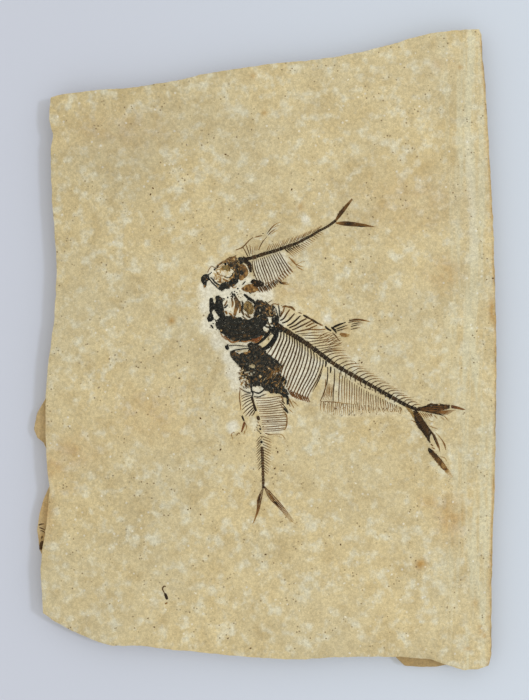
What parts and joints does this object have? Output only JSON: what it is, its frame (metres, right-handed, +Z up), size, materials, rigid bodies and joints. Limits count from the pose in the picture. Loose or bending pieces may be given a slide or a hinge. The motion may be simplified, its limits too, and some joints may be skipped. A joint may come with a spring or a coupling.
{
  "type": "fossil fish slab",
  "caption": "Thin slab of laminated limestone with a group of flattened fossil fish skeletons, raised slightly from its upper face.",
  "frame": {"origin": "middle of the slab's underside", "axes": "+Z up out of the upper face, +Y along the slab's long side towards its top edge, +X towards its right-hand edge"},
  "size_m": [0.1858, 0.2566, 0.0089],
  "materials": {
    "limestone": "matte, fine-grained, mottled cream and tan",
    "skull_bone": "satin, black-brown mineralised bone",
    "fossil_bone": "satin, dark brown mineralised bone",
    "fin_bone": "satin, brown mineralised bone"
  },
  "bodies": {
    "root": {"limestone_slab": "limestone", "upper_fish_skull": "skull_bone", "upper_fish_backbone_and_ribs": "fossil_bone", "upper_fish_dorsal_fin": "fin_bone", "upper_fish_anal_fin": "fin_bone", "upper_fish_tail_fin": "fin_bone", "large_fish_jaws": "skull_bone", "large_fish_skull": "skull_bone", "large_fish_nape_bones": "skull_bone", "large_fish_shoulder_bones": "skull_bone", "large_fish_backbone_and_ribs": "fossil_bone", "large_fish_dorsal_fin": "fin_bone", "large_fish_anal_fin": "fin_bone", "large_fish_upper_tail_lobe": "fin_bone", "large_fish_lower_tail_lobe": "fin_bone", "large_fish_tail_tip": "fin_bone", "lower_fish_skull": "skull_bone", "lower_fish_backbone_and_ribs": "fossil_bone", "lower_fish_dorsal_fin": "fin_bone", "lower_fish_tail_fin": "fin_bone"}
  },
  "joints": []
}
